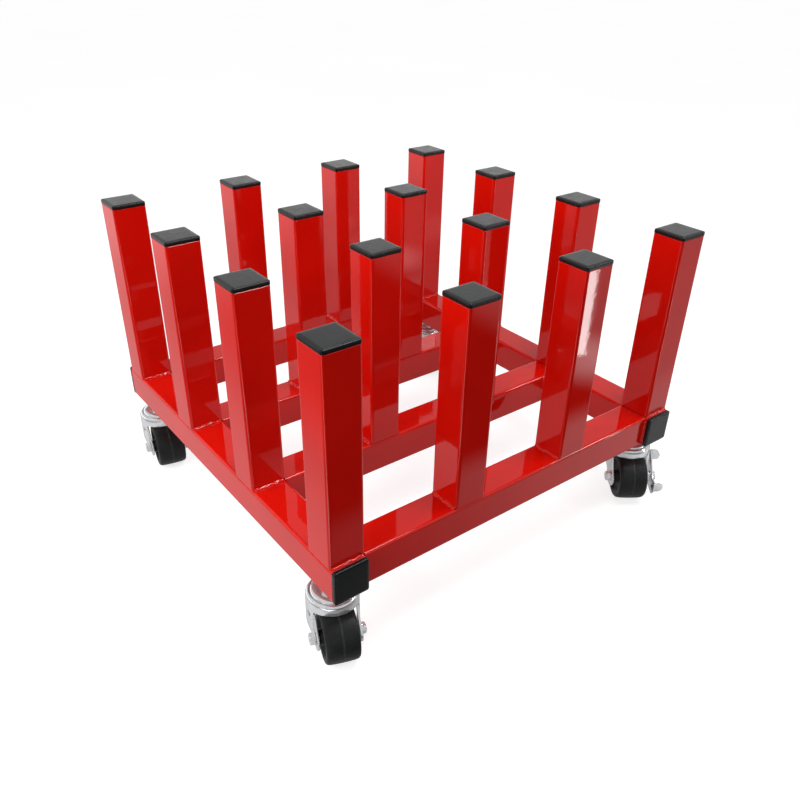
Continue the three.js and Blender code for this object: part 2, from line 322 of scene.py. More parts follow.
# ---------- materials ----------
def red_enamel():
    """Deep glossy red paint with orange peel, a slow waviness and a faint haze."""
    material, tree, shader = new_material("red_enamel")
    tone = remap(tree, noise_node(tree, 120, 2), 0, 1)
    base = blend_colours(tree, tone, (0.56, 0.0042, 0.0012), (0.64, 0.0058, 0.0016))
    speck = remap(tree, noise_node(tree, 7, 4), 0, 0.10, 0.62, 0.78)
    tree.links.new(blend_colours(tree, speck, base, (0.42, 0.003, 0.001)), shader.inputs["Base Color"])
    haze = remap(tree, noise_node(tree, 38, 5), 0.02, 0.045)
    tree.links.new(haze, shader.inputs["Roughness"])
    waves = bump(tree, noise_node(tree, 46, 0), 0.035)
    peel = bump(tree, noise_node(tree, 5.2, 1), 0.024, waves)
    tree.links.new(peel, shader.inputs["Normal"])
    shader.inputs["IOR"].default_value = 1.5
    return material


def black_plastic():
    """Satin moulded plastic with a fine texture and faint flow marks."""
    material, tree, shader = new_material("black_plastic")
    tone = remap(tree, noise_node(tree, 16, 4, (1, 1, 2.5)), 0, 1)
    base = blend_colours(tree, tone, (0.004, 0.0045, 0.005), (0.007, 0.008, 0.009))
    tree.links.new(base, shader.inputs["Base Color"])
    tree.links.new(remap(tree, noise_node(tree, 9, 4), 0.24, 0.34), shader.inputs["Roughness"])
    grain = bump(tree, noise_node(tree, 0.9, 2), 0.007, bump(tree, noise_node(tree, 22, 1), 0.03))
    tree.links.new(grain, shader.inputs["Normal"])
    shader.inputs["IOR"].default_value = 1.42
    return material


def bright_zinc(name, rough_low, rough_high, streak):
    """Bright zinc plate on pressed steel: soft mottling, drawing marks and dull patches."""
    material, tree, shader = new_material(name)
    tone = remap(tree, noise_node(tree, 11, 5), 0, 1)
    base = blend_colours(tree, tone, (0.86, 0.87, 0.89), (0.95, 0.96, 0.98))
    stain = remap(tree, noise_node(tree, 26, 6), 0, 0.45, 0.58, 0.72)
    tree.links.new(blend_colours(tree, stain, base, (0.68, 0.68, 0.69)), shader.inputs["Base Color"])
    tree.links.new(remap(tree, noise_node(tree, 6, 5), rough_low, rough_high), shader.inputs["Roughness"])
    marks = bump(tree, noise_node(tree, 1.6, 3, streak), 0.006, bump(tree, noise_node(tree, 14, 2), 0.03))
    tree.links.new(marks, shader.inputs["Normal"])
    shader.inputs["Metallic"].default_value = 0.8
    return material


def hard_rubber():
    """Hard black tread rubber, scuffed paler along its mould line."""
    material, tree, shader = new_material("hard_rubber")
    tone = remap(tree, noise_node(tree, 9, 5), 0, 1)
    base = blend_colours(tree, tone, (0.005, 0.0055, 0.006), (0.010, 0.0105, 0.011))
    dust = remap(tree, noise_node(tree, 3.2, 6), 0, 0.5, 0.58, 0.75)
    dusty = blend_colours(tree, dust, base, (0.024, 0.025, 0.026))
    line = attribute(tree, "mould_line")
    tree.links.new(blend_colours(tree, line, dusty, (0.036, 0.036, 0.037)), shader.inputs["Base Color"])
    tree.links.new(remap(tree, noise_node(tree, 7, 5), 0.36, 0.52), shader.inputs["Roughness"])
    grain = bump(tree, noise_node(tree, 0.8, 2), 0.02, bump(tree, noise_node(tree, 18, 2), 0.08))
    tree.links.new(grain, shader.inputs["Normal"])
    shader.inputs["Specular IOR Level"].default_value = 0.3
    return material


RED = red_enamel()
BLACK = black_plastic()
ZINC = bright_zinc("bright_zinc", 0.11, 0.19, (1, 1, 1))
STEEL = bright_zinc("turned_zinc", 0.18, 0.30, (1, 1, 6))
RUBBER = hard_rubber()


# ---------- mesh helpers ----------
def loft(rings, closed=False):
    """Points and faces of a body through rings of equal length, with flat ends unless it is closed."""
    count = len(rings[0])
    points = [point for ring in rings for point in ring]
    faces = []
    for band in range(len(rings) - (0 if closed else 1)):
        low = band * count
        high = (band + 1) % len(rings) * count
        for k in range(count):
            after = (k + 1) % count
            faces.append((low + k, low + after, high + after, high + k))
    if not closed:
        faces.append(tuple(reversed(range(count))))
        faces.append(tuple(range(len(points) - count, len(points))))
    return points, faces


def square_outline(side, radius):
    """Outline of a square with rounded corners, anticlockwise."""
    reach = side / 2 - radius
    quarter = [(side / 2, reach - EDGE_LEAD)]
    for step in range(CORNER_STEPS + 1):
        angle = math.radians(90 * step / CORNER_STEPS)
        quarter.append((reach + radius * math.cos(angle), reach + radius * math.sin(angle)))
    quarter.append((reach - EDGE_LEAD, side / 2))
    outline = []
    for turn in ((1, 0), (0, 1), (-1, 0), (0, -1)):
        cos, sin = turn
        outline += [(x * cos - y * sin, x * sin + y * cos) for x, y in quarter]
    return outline


def square_ring(side, radius, height):
    """The rounded square as a ring of points at a height."""
    return [(x, y, height) for x, y in square_outline(side, radius)]


def turned(profile, steps=TURNED_STEPS):
    """A body turned about Z from (radius, height) pairs that close on themselves."""
    rings = []
    for radius, height in profile:
        ring = []
        for step in range(steps):
            angle = 2 * math.pi * step / steps
            ring.append((radius * math.cos(angle), radius * math.sin(angle), height))
        rings.append(ring)
    return loft(rings, closed=True)


def hexagon(radius, low, high, soft_low=True, soft_high=True):
    """A hexagonal nut or bolt head about Z with turned chamfers on the ends that are soft."""
    apothem = radius * math.cos(math.radians(30))
    chamfer = 0.16 * radius
    levels = []
    for soft, end, inward in ((soft_low, low, 1), (soft_high, high, -1)):
        cuts = [(apothem * 0.96, end)] if soft else [(radius, end)]
        if soft:
            for part in (0.35, 0.7, 1.0):
                limit = apothem * 0.96 + (radius - apothem * 0.96) * part
                cuts.append((limit, end + inward * chamfer * part))
        levels.append(cuts)
    rings = []
    for limit, height in levels[0] + levels[1][::-1]:
        ring = []
        for step in range(HEX_STEPS):
            angle = 2 * math.pi * step / HEX_STEPS
            across = apothem / math.cos((angle % math.radians(60)) - math.radians(30))
            reach = min(across, limit)
            ring.append((reach * math.cos(angle), reach * math.sin(angle), height))
        rings.append(ring)
    return loft(rings)


def threaded(radius, low, high):
    """A threaded rod about Z with a chamfered top."""
    rings = []
    turns = int((high - low) / THREAD_PITCH * 8)
    for step in range(turns + 1):
        height = low + (high - low) * step / turns
        ring = []
        for k in range(THREAD_STEPS):
            angle = 2 * math.pi * k / THREAD_STEPS
            phase = height / THREAD_PITCH - k / THREAD_STEPS
            depth = THREAD_DEPTH * (1 - abs(2 * (phase % 1) - 1))
            fade = min(1.0, (high - height) / 1.0)
            reach = radius - depth - 0.7 * (1 - fade)
            ring.append((reach * math.cos(angle), reach * math.sin(angle), height))
        rings.append(ring)
    return loft(rings)


def moved(part, matrix):
    """A part with its points carried by a matrix in millimetres."""
    points, faces = part
    return [tuple(matrix @ Vector(point)) for point in points], faces


def piece(name, parts, material, body, stands_for=(), place=None, sharp=SHARP):
    """One shown object made of (points, faces) parts in millimetres, placed and riding on its body."""
    build = bmesh.new()
    for points, faces in parts:
        spots = [place @ Vector(point) if place else Vector(point) for point in points]
        made = [build.verts.new(spot * MM) for spot in spots]
        for face in faces:
            build.faces.new([made[k] for k in face])
    bmesh.ops.recalc_face_normals(build, faces=build.faces)
    mesh = bpy.data.meshes.new(name)
    build.to_mesh(mesh)
    build.free()
    mesh.materials.append(material)
    obj = bpy.data.objects.new(name, mesh)
    bpy.context.scene.collection.objects.link(obj)
    smooth(mesh, sharp)
    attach(obj, body)
    if stands_for:
        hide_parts(*stands_for)
    return obj


def smooth(mesh, sharp):
    """Smooth shading, with edges sharper than the angle in degrees kept."""
    mesh.polygons.foreach_set("use_smooth", [True] * len(mesh.polygons))
    mesh.set_sharp_from_angle(angle=math.radians(sharp))
    mesh.update()


def apply_modifiers(obj):
    """Turns the object's modifiers into its mesh."""
    bpy.context.view_layer.update()
    shown = obj.evaluated_get(bpy.context.evaluated_depsgraph_get())
    mesh = bpy.data.meshes.new_from_object(shown)
    obj.modifiers.clear()
    obj.data = mesh
    smooth(mesh, SHARP)


def soften(obj, width, angle, segments=2):
    """Rounds the object's sharp edges by a width in millimetres."""
    bevel = obj.modifiers.new("soften", "BEVEL")
    bevel.width = width * MM
    bevel.segments = segments
    bevel.limit_method = "ANGLE"
    bevel.angle_limit = math.radians(angle)
    bevel.harden_normals = False


def middle(node):
    """Centre of a CAD node's box, in millimetres."""
    low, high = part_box(node)
    return (low + high) / 2 / MM


# ---------- tubes ----------
def tube_part(length):
    """A hollow square tube along Z, from z = 0."""
    inner = TUBE - 2 * TUBE_WALL
    rings = []
    for inset, height in ((CUT_EDGE, 0), (0, CUT_EDGE), (0, CUT_EDGE + EDGE_LEAD)):
        rings.append(square_ring(TUBE - 2 * inset, TUBE_RADIUS - inset, height))
    for inset, height in ((0, CUT_EDGE + EDGE_LEAD), (0, CUT_EDGE), (CUT_EDGE, 0)):
        rings.append(square_ring(TUBE - 2 * inset, TUBE_RADIUS - inset, length - height))
    for grow, height in ((CUT_EDGE, 0), (0, CUT_EDGE)):
        rings.append(square_ring(inner + 2 * grow, TUBE_INNER_RADIUS + grow, length - height))
    for grow, height in ((0, CUT_EDGE), (CUT_EDGE, 0)):
        rings.append(square_ring(inner + 2 * grow, TUBE_INNER_RADIUS + grow, height))
    return loft(rings, closed=True)


def plug_part():
    """A plastic plug along +Z: an insert below z = 0 and a head with a rounded, framed face."""
    levels = [(PLUG_INSERT, 2.0, -PLUG_DEPTH), (PLUG_INSERT, 2.0, 0.0)]
    side = TUBE + 2 * PLUG_OVERHANG
    shoulder = [
        (0.3, 0.0),
        (0.05, 0.2),
        (0.0, 0.6),
        (0.0, 4.1),
        (0.1, 4.6),
        (0.4, 5.05),
        (0.9, 5.35),
        (1.6, 5.55),
        (2.6, 5.68),
        (2.9, 5.7),
        (3.05, 5.8),
        (3.2, 5.95),
        (3.5, PLUG_HEAD),
        (6.0, PLUG_HEAD),
    ]
    for inset, height in shoulder:
        levels.append((side - 2 * inset, max(0.9, PLUG_RADIUS - inset), height))
    return loft([square_ring(*level) for level in levels])


def axes_at(origin, x_axis, y_axis, z_axis):
    """Matrix that carries X, Y and Z onto three directions at an origin, in millimetres."""
    columns = Matrix((x_axis, y_axis, z_axis)).transposed()
    return Matrix.Translation(origin) @ columns.to_4x4()


def build_rail(node, along, across):
    """A tube through a CAD rail's box along one axis, numbered as in a vector."""
    low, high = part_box(node)
    start = middle(node)
    start[along] = low[along] / MM
    direction = [0, 0, 0]
    direction[along] = 1
    place = axes_at(start, across, (0, 0, 1), direction)
    length = (high[along] - low[along]) / MM
    piece(f"base_{node}", [tube_part(length)], RED, "base", [node], place)


def build_tubes():
    """Posts, side rails and cross rails."""
    for i in COLUMNS:
        for j in ROWS:
            node = f"post_{i}_{j}"
            low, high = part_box(node)
            centre = middle(node)
            place = Matrix.Translation((centre.x, centre.y, low.z / MM))
            length = (high.z - low.z) / MM
            piece(f"upright_{i}_{j}", [tube_part(length)], RED, "base", [node], place)
    for node in RAILS:
        build_rail(node, 1, (-1, 0, 0))
    for j in ROWS:
        build_rail(f"cross_rail_{j}", 0, (0, 1, 0))


def build_plugs():
    """Caps on the posts and plugs in the ends of the side rails."""
    for i in COLUMNS:
        for j in ROWS:
            node = f"post_cap_{i}_{j}"
            centre = middle(node)
            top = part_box(node)[1].z / MM
            place = Matrix.Translation((centre.x, centre.y, top - PLUG_HEAD))
            piece(f"upright_cap_{i}_{j}", [plug_part()], BLACK, "base", [node], place)
    for end, side in (("front", -1), ("back", 1)):
        for hand in ("left", "right"):
            node = f"rail_plug_{end}_{hand}"
            low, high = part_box(node)
            centre = middle(node)
            face = (low.y if side < 0 else high.y) / MM
            start = (centre.x, face - side * PLUG_HEAD, centre.z)
            place = axes_at(start, (side, 0, 0), (0, 0, 1), (0, side, 0))
            piece(f"rail_end_{end}_{hand}", [plug_part()], BLACK, "base", [node], place)


# ---------- welds ----------
def bead_part(start, end, side_a, side_b, width):
    """A rippled weld bead in the inside corner from start to end, spread along two faces."""
    start, end = Vector(start), Vector(end)
    side_a, side_b = Vector(side_a), Vector(side_b)
    along = (end - start).normalized()
    length = (end - start).length
    count = int(length / BEAD_STEP)
    seed = chance.uniform(0, 900)
    rings = []
    for step in range(count + 1):
        s = length * step / count
        near_end = min(s, length - s)
        taper = 0.45 + 0.55 * min(1.0, near_end / 2.4) ** 0.5
        wander = 0.3 * noise.noise((s * 0.11, seed, 4.0))
        base = start + along * s - (side_a + side_b) * BEAD_SINK
        ring = [tuple(base)]
        for k in range(BEAD_ARC + 1):
            angle = math.radians(90 * k / BEAD_ARC)
            belly = math.sin(2 * angle)
            phase = (s + 1.5 * belly + 3.2 * noise.noise((s * 0.13, seed, 1.0))) / BEAD_PITCH
            scallop = 1 - (2 * (phase % 1) - 1) ** 2
            reach = width * (1 + 0.42 * noise.noise((s * 0.14, seed, k * 0.12)))
            reach = reach * (1 - 0.10 * belly) + 0.34 * belly * (scallop - 0.6)
            reach = max(0.5, reach * taper + wander)
            point = base + (side_a * math.cos(angle) + side_b * math.sin(angle)) * (reach + BEAD_SINK)
            ring.append(tuple(point))
        rings.append(ring)
    return loft(rings)


def is_ledge(j, side):
    """Whether a bead on this side (-1 front, 1 back) of this row lies at the end of the side rails."""
    return (j == ROWS[0] and side < 0) or (j == ROWS[-1] and side > 0)


def post_beads(i, j):
    """The two beads at the foot of a post, on the rail that runs through under it."""
    centre = middle(f"post_{i}_{j}")
    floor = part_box("side_rail_left")[1].z / MM
    half = TUBE / 2
    run = half - BEAD_INSET
    beads = []
    for side in (-1, 1):
        if i in (COLUMNS[0], COLUMNS[-1]):
            y = centre.y + side * half
            start, end = (centre.x - run, y, floor), (centre.x + run, y, floor)
            out = (0, side, 0)
            width = BEAD_LEDGE_WIDTH if is_ledge(j, side) else BEAD_WIDTH
        else:
            x = centre.x + side * half
            start, end = (x, centre.y - run, floor), (x, centre.y + run, floor)
            out = (side, 0, 0)
            width = BEAD_WIDTH
        beads.append(bead_part(start, end, out, (0, 0, 1), width))
    return beads


def joint_beads(j):
    """The upright beads where a cross rail meets the two side rails."""
    low, high = (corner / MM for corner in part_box(f"cross_rail_{j}"))
    beads = []
    for x, inward in ((low.x - RAIL_GAP, 1), (high.x + RAIL_GAP, -1)):
        for y, outward in ((low.y, -1), (high.y, 1)):
            width = JOINT_LEDGE_WIDTH if is_ledge(j, outward) else JOINT_WIDTH
            bottom = (x, y, low.z + JOINT_INSET)
            top = (x, y, high.z - JOINT_INSET)
            beads.append(bead_part(bottom, top, (inward, 0, 0), (0, outward, 0), width))
    return beads


def build_welds():
    """Painted weld beads, one piece for each row."""
    for j in ROWS:
        beads = joint_beads(j)
        for i in COLUMNS:
            beads += post_beads(i, j)
        piece(f"weld_beads_row_{j}", beads, RED, "base", sharp=60)


# ---------- casters ----------
def caster_place(corner):
    """Matrix of a caster's own frame: the swivel axis on Z, the rail underside at z = 0, the wheel
    trailing towards -Y and the brake side on +X."""
    joints = {joint["name"]: joint for joint in frame["joints"]}
    swivel = Vector(joints[f"swivel_{corner}"]["pos_m"]) / MM
    roll = Vector(joints[f"roll_{corner}"]["axis"])
    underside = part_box("side_rail_left")[0].z / MM
    up = Vector((0, 0, 1))
    return axes_at((swivel.x, swivel.y, underside), roll, up.cross(roll), up)


def axle_place(corner):
    """Matrix with Z along the caster's roll axis and the wheel's middle at the origin."""
    joints = {joint["name"]: joint for joint in frame["joints"]}
    centre = Vector(joints[f"roll_{corner}"]["pos_m"]) / MM
    roll = Vector(joints[f"roll_{corner}"]["axis"])
    up = Vector((0, 0, 1))
    return axes_at(centre, roll.cross(up) * -1, up, roll)


def cup_profile():
    """Section of the pressed bearing cup, outer skin first."""
    outer = [
        (STEM_RADIUS + 0.2, -CUP_TOP),
        (20.6, -CUP_TOP),
        (21.4, -CUP_TOP + 0.25),
        (22.4, -CUP_TOP + 0.25),
        (23.4, -CUP_TOP - 0.05),
        (25.0, -CUP_TOP - 0.25),
        (26.6, -CUP_TOP - 0.8),
        (27.9, -CUP_TOP - 1.7),
        (28.7, -CUP_TOP - 2.9),
        (29.1, -CUP_TOP - 4.2),
        (CUP_RADIUS, -CUP_TOP - 5.5),
        (CUP_RADIUS, -CUP_BOTTOM + 0.4),
        (28.9, -CUP_BOTTOM),
    ]
    inner = [
        (27.5, -CUP_BOTTOM),
        (27.2, -CUP_BOTTOM + 0.4),
        (27.1, -CUP_TOP - 5.5),
        (26.0, -CUP_TOP - 3.4),
        (24.0, -CUP_TOP - CUP_SHEET),
        (STEM_RADIUS + 0.2, -CUP_TOP - CUP_SHEET),
    ]
    return outer + inner


def ball(centre):
    """One bearing ball."""
    rings = []
    for level in range(1, 10):
        lift = math.pi * (level / 10 - 0.5)
        reach = BALL_RADIUS * math.cos(lift)
        ring = []
        for step in range(12):
            turn = math.pi * step / 6
            offset = Vector((reach * math.cos(turn), reach * math.sin(turn), BALL_RADIUS * math.sin(lift)))
            ring.append(tuple(centre + offset))
        rings.append(ring)
    return loft(rings)


def build_stem(corner, place):
    """The fixed half of the swivel: threaded stem, nut, collar, bearing cup, balls and kingpin."""
    node = f"caster_stem_{corner}"
    nut = hexagon(*STEM_NUT)
    collar = hexagon(COLLAR_RADIUS, -CUP_TOP, -COLLAR_TOP, soft_low=False)
    thread = threaded(STEM_RADIUS, -COLLAR_TOP - 1, STEM_TOP)
    piece(f"stem_{corner}", [nut, collar, thread], STEEL, "base", [node], place)
    piece(f"bearing_cup_{corner}", [turned(cup_profile())], ZINC, "base", place=place)
    pin = turned(
        [
            (0.6, -CUP_TOP - 0.6),
            (KINGPIN_RADIUS, -CUP_TOP - 0.6),
            (KINGPIN_RADIUS, -RIVET_TOP),
            (RIVET_RADIUS, -RIVET_TOP),
            (RIVET_RADIUS, -RIVET_TOP - 1.6),
            (RIVET_RADIUS - 1.6, -RIVET_TOP - 3.9),
            (RIVET_RADIUS - 5.0, -KINGPIN_END + 0.3),
            (0.6, -KINGPIN_END),
        ],
        48,
    )
    piece(f"kingpin_{corner}", [pin], STEEL, "base", place=place)
    balls = []
    for k in range(BALL_COUNT):
        angle = 2 * math.pi * k / BALL_COUNT
        centre = Vector((BALL_CIRCLE * math.cos(angle), BALL_CIRCLE * math.sin(angle), -BALL_DEPTH))
        balls.append(ball(centre))
    piece(f"bearing_balls_{corner}", balls, STEEL, f"swivel_{corner}", place=place)


def ease(value, start, end):
    """0 before start, 1 after end, and a smooth step between."""
    t = min(1.0, max(0.0, (value - start) / (end - start)))
    return t * t * (3 - 2 * t)


def leg_face(forward, depth, flattens):
    """How far out a leg's outer face stands, from the crown's round wall to the flat round end."""
    lap = min(forward, LEG_FLAT)
    wall = (CROWN_RADIUS**2 - lap**2) ** 0.5
    return wall + (LEG_END_PLANE - wall) * ease(depth, *flattens)


def crown_angles():
    """Directions of the crown's columns from +X, anticlockwise, each with its leg and its place across
    the leg, or 0 and its distance from the nearest leg in millimetres."""
    _, back, front = LEG_EDGES[0]
    first = math.degrees(math.asin(back / CROWN_RADIUS))
    last = math.degrees(math.asin(front / CROWN_RADIUS))
    columns = []
    for side, start, end in ((1, -last, -first), (-1, 180 + first, 180 + last)):
        for k in range(LEG_COLUMNS + 1):
            part = k / LEG_COLUMNS
            across = 1 - part if side > 0 else part
            columns.append((start + (end - start) * part, side, across))
        gap_end = 180 + first if side > 0 else 360 - last
        for k in range(1, CROWN_COLUMNS):
            part = k / CROWN_COLUMNS
            arc = math.radians(gap_end - end) * CROWN_RADIUS
            columns.append((end + (gap_end - end) * part, 0, min(part, 1 - part) * arc))
    return columns


def fork_skin(flattens):
    """Outer skin of the fork: a crown with a turned-down wall whose two sides run down into the legs."""
    crown = [
        (CROWN_BORE, CROWN_TOP),
        (14.0, CROWN_TOP),
        (22.0, CROWN_TOP),
        (28.6, CROWN_TOP),
        (29.5, CROWN_TOP - 0.8),
        (29.8, RIM_TOP + 1.6),
        (30.2, RIM_TOP + 0.4),
        (31.0, RIM_TOP),
        (32.2, RIM_TOP + 0.3),
        (33.4, RIM_TOP + 1.3),
        (34.3, RIM_TOP + 2.8),
        (34.9, RIM_TOP + 4.8),
        (35.15, RIM_TOP + 7.2),
        (CROWN_RADIUS, RIM_TOP + 10.0),
        (CROWN_RADIUS, CROWN_LIP - 1.6),
    ]
    columns = crown_angles()
    points = []
    for radius, depth in crown:
        for degrees, _, _ in columns:
            angle = math.radians(degrees)
            points.append((radius * math.cos(angle), radius * math.sin(angle), -depth))
    count = len(columns)
    for degrees, side, amount in columns:
        angle = math.radians(degrees)
        if side:
            forward = -CROWN_RADIUS * math.sin(angle)
            points.append((side * leg_face(forward, LEG_ROOT, flattens), -forward, -LEG_ROOT))
        else:
            depth = CROWN_LIP + (LEG_ROOT - CROWN_LIP) * math.exp(-amount / ROOT_FILLET)
            points.append((CROWN_RADIUS * math.cos(angle), CROWN_RADIUS * math.sin(angle), -depth))
    faces = []
    for band in range(len(crown)):
        for k in range(count):
            after = (k + 1) % count
            low = band * count
            faces.append((low + k, low + count + k, low + count + after, low + after))
    root = len(crown) * count
    for side in (1, -1):
        upper = [root + k for k, column in enumerate(columns) if column[1] == side]
        across = [columns[k - root][2] for k in upper]
        for depth, back, front in leg_levels()[1:]:
            lower = []
            for part in across:
                forward = back + (front - back) * part
                lower.append(len(points))
                points.append((side * leg_face(forward, depth, flattens), -forward, -depth))
            for k in range(LEG_COLUMNS):
                faces.append((upper[k], lower[k], lower[k + 1], upper[k + 1]))
            upper = lower
    return points, faces


def leg_levels():
    """Depth, back edge and front edge down a leg, with its round end about the axle."""
    levels = list(LEG_EDGES)
    centre = -axle_offset.y
    for degrees in (0, 13, 26, 38, 49, 59, 68, 76, 83):
        angle = math.radians(degrees)
        half = LEG_END_RADIUS * math.cos(angle)
        heel = LEG_HEEL * math.cos(angle) ** 2
        depth = -axle_offset.z + LEG_END_RADIUS * math.sin(angle)
        levels.append((depth, centre - half - heel, centre + half))
    return levels


def build_fork(corner, place):
    """The swivelling fork, pressed from one sheet."""
    skin = fork_skin(LEG_FLATTENS_BRAKED if corner in BRAKED else LEG_FLATTENS)
    obj = piece(f"fork_{corner}", [skin], ZINC, f"swivel_{corner}", [f"caster_fork_{corner}"], place)
    sheet = obj.modifiers.new("sheet", "SOLIDIFY")
    sheet.thickness = FORK_SHEET * MM
    sheet.offset = -1
    sheet.use_even_offset = True
    apply_modifiers(obj)
    cutters = []
    radius, forward, depth = LEG_HOLE
    for reach, y, z in ((radius, -forward, -depth), (AXLE_RADIUS + 0.4, axle_offset.y, axle_offset.z)):
        drill = turned([(0.2, -60), (reach, -60), (reach, 60), (0.2, 60)], 40)
        across = place @ axes_at((0, y, z), (0, 1, 0), (0, 0, 1), (1, 0, 0))
        points, faces = moved(drill, across)
        mesh = bpy.data.meshes.new("cutter")
        mesh.from_pydata([tuple(Vector(point) * MM) for point in points], [], faces)
        cutter = bpy.data.objects.new("cutter", mesh)
        bpy.context.scene.collection.objects.link(cutter)
        cut = obj.modifiers.new("hole", "BOOLEAN")
        cut.object = cutter
        cut.solver = "EXACT"
        cutters.append(cutter)
    soften(obj, 0.55, 50)
    apply_modifiers(obj)
    for cutter in cutters:
        bpy.data.objects.remove(cutter)
    return obj


def build_axle(corner, place):
    """Bolt, nut and washers through the fork and the wheel, along the roll axis."""
    body = f"swivel_{corner}"
    face = LEG_END_PLANE
    braked = corner in BRAKED
    head_top = face + 2 * FIT + WASHER + BOLT_HEAD
    head = hexagon(BOLT_HEX, -head_top, -head_top + BOLT_HEAD, soft_high=False)
    stack = WASHER + 2 * FIT
    if braked:
        stack = BRAKE_PLANE + BRAKE_SHEET + 2 * FIT - face
    nut_start = face + stack
    nut_end = nut_start + (AXLE_NUT if braked else THIN_NUT)
    nut = hexagon(BOLT_HEX, nut_start, nut_end)
    shank = threaded(AXLE_RADIUS, -head_top + BOLT_HEAD, nut_end + AXLE_TAIL)
    piece(f"axle_bolt_{corner}", [head, shank], STEEL, body, [f"caster_axle_{corner}"], place)
    piece(f"axle_nut_{corner}", [nut], STEEL, body, place=place)
    washers = []
    spans = [(-face - FIT - WASHER, -face - FIT)]
    if braked:
        spans.append((face + FIT, BRAKE_PLANE - 2 * FIT))
    else:
        spans.append((face + FIT, face + FIT + WASHER))
    for low, high in spans:
        washers.append(washer(WASHER_RADIUS, low, high))
    inner, outer = HUB_WASHER
    for low, high in ((-outer, -inner), (inner, outer)):
        washers.append(washer(WASHER_RADIUS - 0.7, low, high))
    piece(f"axle_washers_{corner}", washers, ZINC, body, place=place)


def washer(radius, low, high):
    """A flat ring about Z with softened edges."""
    soft = 0.25
    return turned(
        [
            (AXLE_RADIUS + 0.1, low),
            (radius - soft, low),
            (radius, low + soft),
            (radius, high - soft),
            (radius - soft, high),
            (AXLE_RADIUS + 0.1, high),
        ],
        64,
    )


def build_wheel(corner, place):
    """The wheel: moulded hub, dished sides and a tread with a mould line."""
    ridge = [(WHEEL_RADIUS, 0.2), (WHEEL_RADIUS, -0.2)]
    back = [(radius, -x) for radius, x in reversed(WHEEL_PROFILE)]
    profile = WHEEL_PROFILE + ridge + back
    obj = piece(
        f"wheel_{corner}",
        [turned(profile)],
        RUBBER,
        f"wheel_{corner}",
        [f"caster_wheel_{corner}"],
        place,
        sharp=40,
    )
    ridge_rings = range(len(WHEEL_PROFILE) - 1, len(WHEEL_PROFILE) + 3)
    marks = [0.0] * len(obj.data.vertices)
    for ring in ridge_rings:
        for step in range(TURNED_STEPS):
            patchy = 0.55 + 0.9 * noise.noise((step * 0.35, ring * 0.4, 7.0))
            marks[ring * TURNED_STEPS + step] = min(1.0, max(0.1, patchy))
    layer = obj.data.attributes.new("mould_line", "FLOAT", "POINT")
    layer.data.foreach_set("value", marks)
    return obj


def prism_part(outline, low, high):
    """A flat sheet about Z between two heights from an outline of (x, y) points."""
    return loft([[(x, y, low) for x, y in outline], [(x, y, high) for x, y in outline]])


def tab_outline(length, width, rounding):
    """A rectangle from x = 0 to length with its two far corners rounded, centred on y = 0."""
    half = width / 2
    outline = [(0, -half)]
    for centre_y, start in ((-half + rounding, -90), (half - rounding, 0)):
        for step in range(7):
            angle = math.radians(start + 15 * step)
            x = length - rounding + rounding * math.cos(angle)
            outline.append((x, centre_y + rounding * math.sin(angle)))
    outline.append((0, half))
    return outline


def build_brake(corner, place):
    """The brake lever: a plate beside the fork with two pedals bent out from its edges."""
    node = f"brake_lever_{corner}"
    # In the axle's frame, Z runs out along the axle, Y is up and X is backward.
    outline = [(-forward, up) for forward, up in BRAKE_OUTLINE]
    parts = [prism_part(outline, BRAKE_PLANE, BRAKE_PLANE + BRAKE_SHEET)]
    for start, end in (UPPER_PEDAL, LOWER_PEDAL):
        a = Vector((-start[0], start[1], 0))
        b = Vector((-end[0], end[1], 0))
        along = (b - a).normalized()
        out = Vector((0, 0, 1))
        inward = out.cross(along)
        if inward.dot((a + b) / 2) > 0:
            inward = -inward
        tab_edge = tab_outline(PEDAL_REACH - BRAKE_PLANE, (b - a).length, PEDAL_ROUNDING)
        tab = prism_part(tab_edge, 0, BRAKE_SHEET)
        origin = (a + b) / 2 + out * BRAKE_PLANE
        parts.append(moved(tab, axes_at(origin, out, inward.cross(out), inward)))
    obj = piece(f"brake_pedal_{corner}", parts, ZINC, f"brake_{corner}", [node], place)
    soften(obj, 0.7, 40, 3)
    apply_modifiers(obj)
    return obj


def build_casters():
    """The four swivel casters."""
    for corner in CORNERS:
        place = caster_place(corner)
        axle = axle_place(corner)
        build_stem(corner, place)
        build_fork(corner, place)
        build_axle(corner, axle)
        build_wheel(corner, axle)
        if corner in BRAKED:
            build_brake(corner, axle)


# The axle from the swivel axis and the rail underside, in a caster's own frame.
axle_offset = caster_place("front_left").inverted() @ axle_place("front_left").translation


# ---------- surroundings ----------
def flat_card(name, corners, material):
    """A four-cornered card that belongs to the stage."""
    mesh = bpy.data.meshes.new(name)
    mesh.from_pydata(corners, [], [(0, 1, 2, 3)])
    mesh.materials.append(material)
    obj = bpy.data.objects.new(name, mesh)
    bpy.context.scene.collection.objects.link(obj)
    return obj


